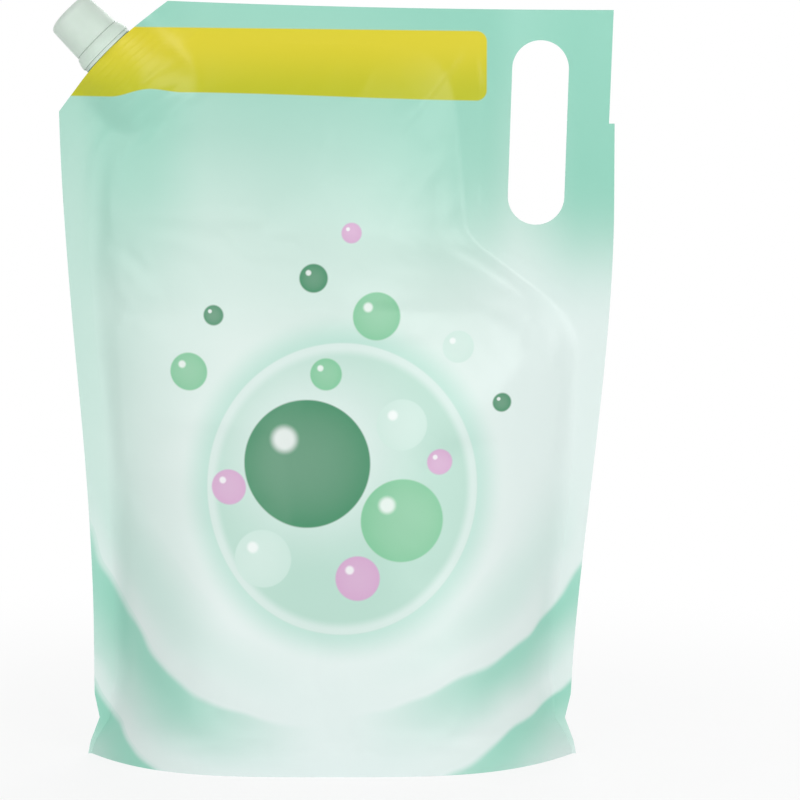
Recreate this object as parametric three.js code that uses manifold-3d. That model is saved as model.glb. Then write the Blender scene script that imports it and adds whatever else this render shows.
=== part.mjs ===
// A stand-up refill pouch for liquid hand soap: a filled bag of welded film with a handle slot,
// a spout welded into its cut corner, a tamper ring, and a screw cap with its sealing liner.
// Millimetres, +Z up. The front faces -Y, and the origin is the middle of the base.
import * as THREE from "three";
import { mergeVertices } from "three/addons/utils/BufferGeometryUtils.js";
import Module from "manifold-3d";

// Outline of the pouch, seen from the front
const TOP_LEFT_REACH = 88; // from the middle out to the left edge, above the filled belly
const TOP_RIGHT_REACH = 90.3;
const LOW_LEFT_REACH = 78.8; // the full belly draws both edges in
const LOW_RIGHT_REACH = 77;
const LEFT_DRAW_FROM = 40; // heights between which each edge is drawn in
const LEFT_DRAW_TO = 215;
const RIGHT_DRAW_FROM = 0;
const RIGHT_DRAW_TO = 180;
const TOP_HEIGHT = 242.5; // top edge at the right
const TOP_RISE = 2.9; // how much higher it runs where the spout corner starts
const WAIST_HEIGHT = 12; // pinch above the foot, and the ears below it
const WAIST_PINCH = 1.6;
const WAIST_REACH = 8;
const FOOT_FLARE = 2.3;
const EDGE_NICK = 1.8; // the right edge steps in above this height
const EDGE_NICK_HEIGHT = 206.3;

// Filled form
const FILM_SEAL = 0.6; // two films welded together
const BASE_DEPTH = 65; // front to back, at the foot
const BELLY_DEPTH = 67;
const BELLY_HEIGHT = 32;
const BELLY_TAPER = 1.55; // how late the belly thins out towards the top weld
const TOP_SEAL = 10; // widths of the welds
const SIDE_SEAL = 7;
const FOOT_SEAL = 2.5;
const FOOT_SEAL_HEIGHT = 30;
const FOOT_SQUARENESS = 3.6; // section exponents: boxy at the foot, a lens above
const LENS_SQUARENESS = 2.2;
const LENS_HEIGHT = 110;
const SKIRT = 1; // lower rim of the front and back films
const GROOVE_WIDTH = 12; // hollow between that rim and the sagging floor
const GROOVE_HEIGHT = 3;

// Handle slot in the welded top right corner
const SLOT_WIDTH = 18.2;
const SLOT_LENGTH = 59;
const SLOT_LEAN = THREE.MathUtils.degToRad(1.75);
const SLOT_SIDE_MARGIN = 14.8;
const SLOT_TOP_MARGIN = 9.6;
const HANDLE_SEAL = 8; // weld between the slot and the filled pocket
const HANDLE_SLOPE = 30; // height over which that weld runs out to the right edge
const HANDLE_RISE = 0.62; // how steeply the belly swells away from it
const HANDLE_ROUND = 5;

// Cut corner with the welded spout, at 45 degrees
const CORNER_CUT = 35.3; // leg of the cut
const CORNER_BOW = 2; // how far the cut edge bows out
const CORNER_SEAL = 1; // weld beyond the spout's foot
const BOAT_LENGTH = 30; // lens-shaped foot of the spout, between the films
const BOAT_DEPTH = 12;
const BOAT_HEIGHT = 11;
const BOAT_SINK = 1.2; // its top lies this far below the cut edge
const BOAT_FADE = 30; // length over which the films close again behind it
const SLEEVE_WALL = 0.7; // film wrapped around the foot
const CLEARANCE = 0.3; // between separate pieces

// Spout, tamper ring, cap and liner, measured from the cut edge along the spout
const BORE_RADIUS = 4.8;
const ROOT_WALL = 1; // of the neck between the foot and the flange
const NECK_WALL = 1.4;
const NECK_TOP = 15.6;
const RIM_CHAMFER = 0.5;
const FLANGE_THICKNESS = 0.9;
const BEAD_HEIGHT = 0.7; // stands out of the neck and holds the tamper ring on it
const BEAD_WIDTH = 1;
const RING_STEP = 1.2; // how far the ring stands out beyond the cap
const RING_HEIGHT = 3.5;
const RING_LIP_HEIGHT = 1.6; // the ring's inner lip, under the bead
const RING_SHOULDER = 1;
const THREAD_ROOM = 0.4; // between the bead and the cap's wall
const CAP_WALL = 1.2;
const CAP_DRAFT = 0.5; // the cap narrows by this much towards its end
const CAP_CROWN = 2.2; // height of the domed end
const CAP_CROWN_WALL = 1.6;
const CROWN_SQUARENESS = 0.5; // below 1 gives a flat end with a round edge
const LINER_THICKNESS = 0.8;

// Fineness of the facets
const SEAL_COLUMNS = 4;
const POCKET_COLUMNS = 26;
const FOOT_ROWS = 4;
const BELLY_ROWS = 26;
const NECK_ROWS = 14;
const NECK_ROWS_FROM = 190; // finer rows above this height
const FLOOR_STEPS = 6;
const ROUND_SEGMENTS = 40;
const ARC_SEGMENTS = 10;
const EDGE_SEGMENTS = 3;

const wasm = await Module();
wasm.setup();

const { lerp, smoothstep } = THREE.MathUtils;
const baseHalf = BASE_DEPTH / 2;
const bellyHalf = BELLY_DEPTH / 2;
const filmHalf = FILM_SEAL / 2;
const sealedFrom = TOP_HEIGHT - TOP_SEAL;
const smoothMax = (a, b, round) => (a + b + Math.hypot(a - b, round)) / 2;
const smoothMin = (a, b, round) => (a + b - Math.hypot(a - b, round)) / 2;

// Distance of an edge from the middle: a drawn-in side with a pinched waist and a flared ear.
function edgeReach(z, low, top, from, to) {
  const pinch = WAIST_PINCH * Math.max(0, 1 - Math.abs(z - WAIST_HEIGHT) / WAIST_REACH);
  const flare = FOOT_FLARE * Math.max(0, 1 - z / WAIST_HEIGHT);
  return lerp(low, top, smoothstep(z, from, to)) - pinch + flare;
}

const leftEdge = (z) => -edgeReach(z, LOW_LEFT_REACH, TOP_LEFT_REACH, LEFT_DRAW_FROM, LEFT_DRAW_TO);
const rightEdge = (z) => edgeReach(z, LOW_RIGHT_REACH, TOP_RIGHT_REACH, RIGHT_DRAW_FROM, RIGHT_DRAW_TO);

// The top edge rises to the left, up to where the corner is cut.
const cutTopX = CORNER_CUT - TOP_LEFT_REACH;
function topEdge(x) {
  const along = (TOP_RIGHT_REACH - Math.max(x, cutTopX)) / (TOP_RIGHT_REACH - cutTopX);
  return TOP_HEIGHT + TOP_RISE * along * along;
}

// Spout frame: the bowed cut edge's crest, and the ways out of and along the corner.
const cornerTop = TOP_HEIGHT + TOP_RISE;
const outward = new THREE.Vector2(-Math.SQRT1_2, Math.SQRT1_2);
const alongCut = new THREE.Vector2(Math.SQRT1_2, Math.SQRT1_2);
const spoutFoot = new THREE.Vector2(CORNER_CUT / 2 - TOP_LEFT_REACH, cornerTop - CORNER_CUT / 2)
  .addScaledVector(outward, CORNER_BOW);
const halfCut = CORNER_CUT * Math.SQRT1_2;
const bowRadius = (halfCut * halfCut + CORNER_BOW * CORNER_BOW) / (2 * CORNER_BOW);

// Handle slot: its two end centres, and the weld around it.
const slotRadius = SLOT_WIDTH / 2;
const slotSpan = SLOT_LENGTH - SLOT_WIDTH;
const slotTop = new THREE.Vector2(
  TOP_RIGHT_REACH - SLOT_SIDE_MARGIN - slotRadius,
  TOP_HEIGHT - SLOT_TOP_MARGIN - slotRadius,
);
const slotBottom = slotTop
  .clone()
  .sub(new THREE.Vector2(Math.sin(SLOT_LEAN), Math.cos(SLOT_LEAN)).multiplyScalar(slotSpan));
const handleEdge = slotBottom.x - slotRadius - HANDLE_SEAL;
const handleFoot = slotBottom.y - slotRadius;
const handleTurn = new THREE.Vector2(HANDLE_SLOPE, TOP_RIGHT_REACH - SIDE_SEAL - handleEdge).normalize();

// Sides of the filled pocket at a height, inside the welds.
const sealWidth = (z) => lerp(FOOT_SEAL, SIDE_SEAL, smoothstep(z, 0, FOOT_SEAL_HEIGHT));

function pocketLeft(z) {
  const weld = BOAT_SINK + BOAT_HEIGHT + CORNER_SEAL;
  const cutLine = spoutFoot.x - spoutFoot.y + (CORNER_BOW + weld) * Math.SQRT2 + z;
  return smoothMax(leftEdge(z) + sealWidth(z), cutLine, SIDE_SEAL);
}

function pocketRight(z) {
  const open = rightEdge(z) - sealWidth(z);
  return lerp(open, handleEdge, smoothstep(z, handleFoot - HANDLE_SLOPE, handleFoot));
}

// Half the depth of the belly, at its thickest, at a height.
function bellyAt(z) {
  if (z < BELLY_HEIGHT) return lerp(baseHalf, bellyHalf, Math.sin(((z / BELLY_HEIGHT) * Math.PI) / 2));
  const rise = Math.min(1, (z - BELLY_HEIGHT) / (sealedFrom - BELLY_HEIGHT));
  return bellyHalf * (1 - rise ** BELLY_TAPER);
}

// Half depth where the films close again behind the spout's foot.
function spoutLens(x, z) {
  const offset = new THREE.Vector2(x, z).sub(spoutFoot);
  const across = offset.dot(alongCut) / (BOAT_LENGTH / 2);
  const depth = -offset.dot(outward) - BOAT_SINK - BOAT_HEIGHT;
  return (BOAT_DEPTH / 2) * Math.max(0, 1 - across * across) * (1 - smoothstep(depth, 0, BOAT_FADE));
}

// How far the belly may swell below the slanting weld under the handle.
function handleLimit(x, z) {
  const below = (handleEdge - x) * handleTurn.x + (handleFoot - z) * handleTurn.y;
  return HANDLE_RISE * Math.max(0, Math.max(below, handleEdge - x));
}

function halfDepth(x, z) {
  const left = pocketLeft(z);
  const right = pocketRight(z);
  const across = Math.min(1, Math.abs((2 * x - left - right) / (right - left)));
  const squareness = lerp(FOOT_SQUARENESS, LENS_SQUARENESS, smoothstep(z, 0, LENS_HEIGHT));
  const lens = bellyAt(z) * (1 - across ** squareness);
  const belly = Math.max(0, smoothMin(lens, handleLimit(x, z), HANDLE_ROUND));
  return filmHalf + Math.max(belly, spoutLens(x, z));
}

// The floor under a column: a rim, a groove inside it, and the flat sagging middle.
function floorProfile(half) {
  const share = Math.min(1, half / (2 * SKIRT + GROOVE_WIDTH));
  const points = [0, SKIRT];
  for (let i = 1; i <= FLOOR_STEPS; i++) points.push(SKIRT + (GROOVE_WIDTH * i) / FLOOR_STEPS);
  const side = points.map((inset) => {
    const through = Math.max(0, inset - SKIRT) / GROOVE_WIDTH;
    const lift = GROOVE_HEIGHT * share * Math.sin(through * Math.PI) ** 2;
    return { y: half - inset * share, z: lift };
  });
  return [...side.map(({ y, z }) => ({ y: -y, z })), ...side.reverse()];
}

// Collects points and triangles of one closed surface.
class Surface {
  points = [];
  triangles = [];
  add(x, y, z) {
    return this.points.push(x, y, z) / 3 - 1;
  }
  quad(a, b, c, d) {
    this.triangles.push(a, b, c, a, c, d);
  }
  geometry() {
    const made = new THREE.BufferGeometry();
    made.setAttribute("position", new THREE.Float32BufferAttribute(this.points, 3));
    return made.setIndex(this.triangles);
  }
}

// Values from one number up to, and without, another.
const stepsUpTo = (from, to, count) => Array.from({ length: count }, (_, i) => lerp(from, to, i / count));

// Where the columns stand at a height: a few across each weld, the rest across the pocket.
function columnsAt(z) {
  const [left, right] = [pocketLeft(z), pocketRight(z)];
  return [
    ...stepsUpTo(leftEdge(z), left, SEAL_COLUMNS),
    ...stepsUpTo(left, right, POCKET_COLUMNS),
    ...stepsUpTo(right, rightEdge(z), SEAL_COLUMNS),
    rightEdge(z),
  ];
}

// The whole bag before its corner and slot are cut: front and back films, edges and floor.
function bagGeometry() {
  const surface = new Surface();
  const heights = [
    ...stepsUpTo(0, WAIST_HEIGHT, FOOT_ROWS),
    ...stepsUpTo(WAIST_HEIGHT, NECK_ROWS_FROM, BELLY_ROWS),
    ...stepsUpTo(NECK_ROWS_FROM, TOP_HEIGHT, NECK_ROWS),
    TOP_HEIGHT,
  ];
  const film = (side) =>
    heights.map((height) =>
      columnsAt(height).map((x) => {
        const z = (height / TOP_HEIGHT) * topEdge(x);
        return surface.add(x, side * halfDepth(x, z), z);
      }),
    );
  const front = film(-1);
  const back = film(1);
  const lastRow = heights.length - 1;
  const lastColumn = front[0].length - 1;
  for (let i = 0; i < lastRow; i++) {
    for (let j = 0; j < lastColumn; j++) {
      surface.quad(front[i][j], front[i][j + 1], front[i + 1][j + 1], front[i + 1][j]);
      surface.quad(back[i][j], back[i + 1][j], back[i + 1][j + 1], back[i][j + 1]);
    }
    surface.quad(front[i][0], front[i + 1][0], back[i + 1][0], back[i][0]);
    const [low, high] = [i, i + 1].map((row) => [front[row][lastColumn], back[row][lastColumn]]);
    surface.quad(low[0], low[1], high[1], high[0]);
  }
  for (let j = 0; j < lastColumn; j++) {
    const [ahead, behind] = [front[lastRow], back[lastRow]];
    surface.quad(ahead[j], ahead[j + 1], behind[j + 1], behind[j]);
  }
  addFloor(surface, front[0], back[0]);
  return surface.geometry();
}

// The floor, column by column, from the front film's lower edge to the back film's.
function addFloor(surface, frontEdge, backEdge) {
  const last = frontEdge.length - 1;
  const columns = frontEdge.map((corner, j) => {
    if (j === 0 || j === last) return [corner, backEdge[j]];
    const x = surface.points[corner * 3];
    const inner = floorProfile(-surface.points[corner * 3 + 1]).slice(1, -1);
    return [corner, ...inner.map(({ y, z }) => surface.add(x, y, z)), backEdge[j]];
  });
  for (let j = 1; j < last - 1; j++) {
    const [here, next] = [columns[j], columns[j + 1]];
    for (let k = 0; k + 1 < here.length; k++) surface.quad(here[k], here[k + 1], next[k + 1], next[k]);
  }
  closeFloorEnd(surface, columns[0], columns[1], false);
  closeFloorEnd(surface, columns[last], columns[last - 1], true);
}

// Joins the floor's last full column to the two points of the ear beside it.
function closeFloorEnd(surface, [earFront, earBack], column, mirrored) {
  const turn = (a, b, c) => surface.triangles.push(a, ...(mirrored ? [c, b] : [b, c]));
  const middle = column.length / 2 - 1;
  for (let k = 0; k < middle; k++) turn(earFront, column[k + 1], column[k]);
  turn(earFront, earBack, column[middle]);
  for (let k = middle; k + 1 < column.length; k++) turn(earBack, column[k + 1], column[k]);
}

function solidOf(geometry) {
  const bare = geometry.index ? geometry.toNonIndexed() : geometry.clone();
  bare.deleteAttribute("normal");
  bare.deleteAttribute("uv");
  const merged = mergeVertices(bare, 1e-4);
  return new wasm.Manifold(
    new wasm.Mesh({
      numProp: 3,
      vertProperties: new Float32Array(merged.attributes.position.array),
      triVerts: new Uint32Array(merged.index.array),
    }),
  );
}

function geometryOf(solid) {
  const mesh = solid.getMesh();
  const made = new THREE.BufferGeometry();
  made.setAttribute("position", new THREE.BufferAttribute(new Float32Array(mesh.vertProperties), 3));
  made.setIndex(new THREE.BufferAttribute(new Uint32Array(mesh.triVerts), 1));
  made.computeVertexNormals();
  return made;
}

// A shape drawn in the front view, right through the pouch.
function throughCut(shape) {
  const depth = 2 * BELLY_DEPTH;
  const cut = new THREE.ExtrudeGeometry(shape, {
    depth,
    bevelEnabled: false,
    curveSegments: ARC_SEGMENTS,
  });
  return solidOf(cut.translate(0, 0, -depth / 2).rotateX(Math.PI / 2));
}

function slotShape() {
  const lean = -SLOT_LEAN;
  return new THREE.Shape()
    .absarc(slotTop.x, slotTop.y, slotRadius, lean, Math.PI + lean, false)
    .absarc(slotBottom.x, slotBottom.y, slotRadius, Math.PI + lean, 2 * Math.PI + lean, false)
    .closePath();
}

// Everything outside the bowed corner edge.
function cornerShape() {
  const centre = spoutFoot.clone().addScaledVector(outward, -bowRadius);
  const beyond = CORNER_CUT;
  const sweep = Math.asin((halfCut + beyond) / bowRadius);
  const middle = outward.angle();
  const ends = [1, -1].map((side) =>
    spoutFoot
      .clone()
      .addScaledVector(alongCut, side * (halfCut + beyond))
      .addScaledVector(outward, CORNER_CUT + beyond),
  );
  return new THREE.Shape()
    .absarc(centre.x, centre.y, bowRadius, middle - sweep, middle + sweep, false)
    .lineTo(ends[1].x, ends[1].y)
    .lineTo(ends[0].x, ends[0].y)
    .closePath();
}

// The sliver that steps the right edge in above the nick.
function nickShape() {
  const outside = TOP_RIGHT_REACH + SIDE_SEAL;
  const above = TOP_HEIGHT + TOP_RISE + TOP_SEAL;
  return new THREE.Shape()
    .moveTo(TOP_RIGHT_REACH - EDGE_NICK, EDGE_NICK_HEIGHT)
    .lineTo(outside, EDGE_NICK_HEIGHT)
    .lineTo(outside, above)
    .lineTo(TOP_RIGHT_REACH, above)
    .closePath();
}

// The spout's lens-shaped foot, grown by a margin and made taller. Its length lies along the cut.
function boatGeometry(margin, rise = 0) {
  const half = BOAT_LENGTH / 2 + margin;
  const bulge = BOAT_DEPTH / 2 + margin;
  const radius = (half * half + bulge * bulge) / (2 * bulge);
  const sweep = Math.asin(half / radius);
  const lens = new THREE.Shape()
    .absarc(0, bulge - radius, radius, Math.PI / 2 - sweep, Math.PI / 2 + sweep, false)
    .absarc(0, radius - bulge, radius, 1.5 * Math.PI - sweep, 1.5 * Math.PI + sweep, false)
    .closePath();
  const boat = new THREE.ExtrudeGeometry(lens, {
    depth: BOAT_HEIGHT + margin + rise,
    bevelEnabled: false,
    curveSegments: ARC_SEGMENTS,
  });
  return boat.translate(0, 0, -BOAT_SINK - BOAT_HEIGHT - margin);
}

// A closed ring or cup turned from a profile of [radius, height] points.
function turned(profile) {
  const points = profile.map(([radius, height]) => new THREE.Vector2(radius, height));
  return new THREE.LatheGeometry([...points, points[0].clone()], ROUND_SEGMENTS).rotateX(Math.PI / 2);
}

// Points of a profile's round edge, from its side up to its top, without the last.
const quarterTurn = (count) => stepsUpTo(0, Math.PI / 2, count);

function crownArc(radius, from, height) {
  return quarterTurn(ARC_SEGMENTS).map((angle) => [
    radius * Math.cos(angle) ** CROWN_SQUARENESS,
    from + height * Math.sin(angle),
  ]);
}

function roundEdge(radius, top, round) {
  return quarterTurn(EDGE_SEGMENTS).map((angle) => [
    radius - round * (1 - Math.cos(angle)),
    top - round * (1 - Math.sin(angle)),
  ]);
}

// Carries geometry from the spout's own frame (+Z out of the corner) into the pouch's frame.
const spoutFrame = new THREE.Matrix4().makeBasis(
  new THREE.Vector3(alongCut.x, 0, alongCut.y),
  new THREE.Vector3(0, 1, 0),
  new THREE.Vector3(outward.x, 0, outward.y),
);
spoutFrame.setPosition(spoutFoot.x, 0, spoutFoot.y);

function pouchGeometry() {
  const inPlace = (geometry) => solidOf(geometry.applyMatrix4(spoutFrame));
  const sleeve = inPlace(boatGeometry(CLEARANCE + SLEEVE_WALL, 2 * BOAT_SINK));
  const boatRoom = inPlace(boatGeometry(CLEARANCE, 3 * BOAT_SINK));
  const cuts = [cornerShape(), slotShape(), nickShape()].map(throughCut);
  const bag = solidOf(bagGeometry()).add(sleeve);
  return geometryOf([...cuts, boatRoom].reduce((left, cut) => left.subtract(cut), bag));
}

// Heights along the spout, each from the one below it.
const flangeTop = CLEARANCE + FLANGE_THICKNESS;
const ringFoot = flangeTop + CLEARANCE;
const ringTop = ringFoot + RING_HEIGHT;
const beadFoot = ringFoot + RING_LIP_HEIGHT + CLEARANCE;
const capFoot = ringTop + CLEARANCE;
const linerFoot = NECK_TOP + CLEARANCE;
const capRoof = linerFoot + LINER_THICKNESS + CLEARANCE;
const capTop = capRoof + CAP_CROWN_WALL;
const crownFoot = capTop - CAP_CROWN;

// Radii, each from the one inside it.
const rootRadius = BORE_RADIUS + ROOT_WALL;
const neckRadius = BORE_RADIUS + NECK_WALL;
const beadRadius = neckRadius + BEAD_HEIGHT;
const capBore = beadRadius + THREAD_ROOM;
const capRadius = capBore + CAP_WALL;
const ringRadius = capRadius + RING_STEP;
const flangeRadius = ringRadius - CLEARANCE;
const ringBore = beadRadius + CLEARANCE;
const lipBore = neckRadius + CLEARANCE;

function spoutGeometry() {
  const bottom = -BOAT_SINK - BOAT_HEIGHT;
  const outer = turned([
    [0, bottom / 2],
    [rootRadius, bottom / 2],
    [rootRadius, CLEARANCE],
    [flangeRadius, CLEARANCE],
    [flangeRadius, flangeTop],
    [neckRadius, flangeTop],
    [neckRadius, beadFoot],
    [beadRadius, beadFoot + BEAD_WIDTH / 4],
    [beadRadius, beadFoot + BEAD_WIDTH / 2],
    [neckRadius, beadFoot + BEAD_WIDTH],
    [neckRadius, NECK_TOP - RIM_CHAMFER],
    [neckRadius - RIM_CHAMFER, NECK_TOP],
    [0, NECK_TOP],
  ]);
  const bore = turned([
    [0, 2 * bottom],
    [BORE_RADIUS, 2 * bottom],
    [BORE_RADIUS, 2 * NECK_TOP],
    [0, 2 * NECK_TOP],
  ]);
  return geometryOf(solidOf(outer).add(solidOf(boatGeometry(0))).subtract(solidOf(bore)));
}

function tamperRingGeometry() {
  return turned([
    [lipBore, ringFoot],
    [ringRadius, ringFoot],
    ...roundEdge(ringRadius, ringTop, RING_SHOULDER),
    [ringRadius - RING_SHOULDER, ringTop],
    [ringBore, ringTop],
    [ringBore, ringFoot + RING_LIP_HEIGHT],
    [lipBore, ringFoot + RING_LIP_HEIGHT],
  ]);
}

function screwCapGeometry() {
  return turned([
    [0, capRoof],
    [capBore, capRoof],
    [capBore, capFoot],
    [capRadius, capFoot],
    ...crownArc(capRadius - CAP_DRAFT, crownFoot, CAP_CROWN),
    [0, capTop],
  ]);
}

function linerGeometry() {
  const radius = capBore - CLEARANCE;
  return turned([
    [0, linerFoot],
    [radius, linerFoot],
    [radius, linerFoot + LINER_THICKNESS],
    [0, linerFoot + LINER_THICKNESS],
  ]);
}

const filmMaterial = new THREE.MeshStandardMaterial({ color: 0xbfe3d6, roughness: 0.35, metalness: 0 });
const milkyMaterial = new THREE.MeshStandardMaterial({ color: 0xd3e0d4, roughness: 0.45, metalness: 0 });
const foamMaterial = new THREE.MeshStandardMaterial({ color: 0xf2f3ef, roughness: 0.8, metalness: 0 });

function piece(name, geometry, material) {
  const mesh = new THREE.Mesh(geometry, material);
  mesh.name = name;
  return mesh;
}

const closure = new THREE.Group();
closure.applyMatrix4(spoutFrame);
closure.add(
  piece("spout", spoutGeometry(), milkyMaterial),
  piece("tamper_ring", tamperRingGeometry(), milkyMaterial),
  piece("screw_cap", screwCapGeometry(), milkyMaterial),
  piece("cap_liner", linerGeometry(), foamMaterial),
);

const refillPack = new THREE.Group();
refillPack.add(piece("pouch", pouchGeometry(), filmMaterial), closure);

export default refillPack;
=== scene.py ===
import math

import bmesh
import bpy
import numpy as np
from mathutils import Matrix, Vector


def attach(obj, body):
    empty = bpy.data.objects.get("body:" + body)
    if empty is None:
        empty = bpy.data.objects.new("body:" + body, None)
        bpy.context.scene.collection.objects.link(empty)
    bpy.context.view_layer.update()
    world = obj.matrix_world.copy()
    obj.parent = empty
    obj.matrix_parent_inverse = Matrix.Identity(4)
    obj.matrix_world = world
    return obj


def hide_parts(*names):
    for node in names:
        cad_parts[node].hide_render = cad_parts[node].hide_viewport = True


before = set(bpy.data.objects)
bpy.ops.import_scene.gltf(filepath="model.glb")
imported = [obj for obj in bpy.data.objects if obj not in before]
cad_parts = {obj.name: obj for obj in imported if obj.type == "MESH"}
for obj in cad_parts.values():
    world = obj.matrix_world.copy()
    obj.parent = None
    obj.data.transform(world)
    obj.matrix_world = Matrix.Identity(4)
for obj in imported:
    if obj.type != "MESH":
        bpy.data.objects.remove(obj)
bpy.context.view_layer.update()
scene = bpy.context.scene
mm = 0.001
print("frame loaded:", sorted(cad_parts))

# the bag's form, mm, with the driving sizes of the solids
bag = {
    "leftTop": 88.0, "rightTop": 90.3, "leftLow": 78.8, "rightLow": 77.0,
    "leftDraw": (40, 215), "rightDraw": (0, 180),  # heights between which the sides widen
    "top": 242.5, "topRise": 2.9,
    "waist": 12.0, "pinch": 1.6, "pinchReach": 8.0, "flare": 2.3,
    "nick": 1.8, "nickHeight": 206.3,
    "film": 0.5, "baseDepth": 65.0, "bellyDepth": 67.0, "bellyHeight": 32.0, "taper": 1.55,
    "topSeal": 10.0, "sideSeal": 7.0, "footSeal": 1.2, "footSealHeight": 30.0,
    "footSquare": 3.6, "lensSquare": 2.2, "lensHeight": 110.0,  # the section, from boxy to lens-shaped
    "partEase": 0.6, "partWidth": 4.5, "partHeight": 24.0,  # how softly the films part at a weld
    "skirt": 1.0, "groove": 12.0, "grooveLift": 3.0, "floorSteps": 14,
    "rows": 190, "footRows": 8, "columns": (14, 120, 20), "sharp": 42.0,
}
slot = {
    "width": 18.2, "length": 59.0, "lean": math.radians(1.75), "side": 14.8, "top": 9.6,
    "seal": 8.0, "slope": 30.0, "rise": 0.72, "ease": 7.0, "round": 5.0, "steps": 40,
}
corner = {
    "cut": 35.3, "bow": 2.0, "bowSteps": 60, "seal": 1.0, "fade": 30.0, "ease": 2.0,
    "boatLength": 30.0, "boatDepth": 12.0, "boatHeight": 11.0, "boatSink": 1.2, "boatSteps": 40,
    "wall": 0.6, "gap": 0.3, "mouth": 3.0,
}

halfRoot = math.sqrt(0.5)
outward = np.array([-halfRoot, halfRoot])  # out of the cut corner, as (x, z)
alongCut = np.array([halfRoot, halfRoot])
spoutFoot = np.array([corner["cut"] / 2 - bag["leftTop"], bag["top"] + bag["topRise"] - corner["cut"] / 2])
spoutFoot = spoutFoot + corner["bow"] * outward
slotRadius = slot["width"] / 2
slotTop = np.array([bag["rightTop"] - slot["side"] - slotRadius, bag["top"] - slot["top"] - slotRadius])
slotLean = np.array([math.sin(slot["lean"]), math.cos(slot["lean"])])
slotLow = slotTop - slotLean * (slot["length"] - slot["width"])
handleEdge = slotLow[0] - slotRadius - slot["seal"]
handleFoot = slotLow[1] - slotRadius


def smoothStep(v, low, high):
    t = np.clip((v - low) / (high - low), 0, 1)
    return t * t * (3 - 2 * t)


def mixed(a, b, t):
    return a + (b - a) * t


def softMax(a, b, soft):
    return (a + b + np.hypot(a - b, soft)) / 2


def softMin(a, b, soft):
    return (a + b - np.hypot(a - b, soft)) / 2


def arcRadius(half, rise):
    # radius of an arc from its half width and its rise
    return (half ** 2 + rise ** 2) / (2 * rise)


def edgeReach(z, low, top, draw):
    pinch = bag["pinch"] * np.maximum(0, 1 - np.abs(z - bag["waist"]) / bag["pinchReach"])
    flare = bag["flare"] * np.maximum(0, 1 - z / bag["waist"])
    return mixed(low, top, smoothStep(z, *draw)) - pinch + flare


def leftEdge(z):
    return -edgeReach(z, bag["leftLow"], bag["leftTop"], bag["leftDraw"])


def rightEdge(z):
    return edgeReach(z, bag["rightLow"], bag["rightTop"], bag["rightDraw"])


def topEdge(x):
    cutTop = corner["cut"] - bag["leftTop"]
    along = (bag["rightTop"] - np.maximum(x, cutTop)) / (bag["rightTop"] - cutTop)
    return bag["top"] + bag["topRise"] * along ** 2


def sealWidth(z):
    return mixed(bag["footSeal"], bag["sideSeal"], smoothStep(z, 0, bag["footSealHeight"]))


def pocketLeft(z):
    weld = corner["boatSink"] + corner["boatHeight"] + corner["seal"] + corner["bow"]
    cutLine = spoutFoot[0] - spoutFoot[1] + weld / halfRoot + z
    return softMax(leftEdge(z) + sealWidth(z), cutLine, bag["sideSeal"])


def pocketRight(z):
    besideWeld = rightEdge(z) - sealWidth(z)
    return mixed(besideWeld, handleEdge, smoothStep(z, handleFoot - slot["slope"], handleFoot))


def bellyAt(z):
    base, belly = bag["baseDepth"] / 2, bag["bellyDepth"] / 2
    low = mixed(base, belly, np.sin(np.clip(z / bag["bellyHeight"], 0, 1) * math.pi / 2))
    sealedFrom = bag["top"] - bag["topSeal"]
    rise = np.clip((z - bag["bellyHeight"]) / (sealedFrom - bag["bellyHeight"]), 0, 1)
    return np.where(z < bag["bellyHeight"], low, belly * (1 - rise ** bag["taper"]))


def spoutPlace(x, z):
    # distance along the cut, and depth below the cut's crest
    dx, dz = x - spoutFoot[0], z - spoutFoot[1]
    return dx * alongCut[0] + dz * alongCut[1], -(dx * outward[0] + dz * outward[1])


def sleeveDepth(x, z):
    # the films wrap the spout's lens-shaped foot and close again behind it
    across, depth = spoutPlace(x, z)
    margin = corner["gap"] + corner["wall"]
    bulge = corner["boatDepth"] / 2 + margin
    radius = arcRadius(corner["boatLength"] / 2 + margin, bulge)
    lens = np.sqrt(np.maximum(0, radius ** 2 - across ** 2)) - radius + bulge
    foot = corner["boatSink"] + corner["boatHeight"]
    closing = 1 - smoothStep(depth, foot, foot + corner["fade"])
    return softMax(lens, 0, corner["ease"]) * closing


def handleLimit(x, z):
    # the films part slowly from the flat handle
    turn = np.array([slot["slope"], bag["rightTop"] - bag["sideSeal"] - handleEdge])
    turn = turn / np.hypot(*turn)
    below = (handleEdge - x) * turn[0] + (handleFoot - z) * turn[1]
    below = np.maximum(0, softMax(below, handleEdge - x, slot["round"]))
    return slot["rise"] * below ** 2 / (below + slot["ease"])


def halfDepth(x, z):
    left, right = pocketLeft(z), pocketRight(z)
    across = np.minimum(1, np.abs((2 * x - left - right) / (right - left)))
    square = mixed(bag["footSquare"], bag["lensSquare"], smoothStep(z, 0, bag["lensHeight"]))
    lens = bellyAt(z) * (1 - across ** square)
    belly = np.maximum(0, softMin(lens, handleLimit(x, z), slot["round"]))
    inset = np.maximum(0, np.minimum(x - left, right - x))
    ease = bag["partEase"] * smoothStep(z, 0, bag["partHeight"])
    belly = belly * (1 - ease * np.exp(-(inset / bag["partWidth"]) ** 2))
    return bag["film"] / 2 + np.cbrt(belly ** 3 + sleeveDepth(x, z) ** 3)


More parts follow.
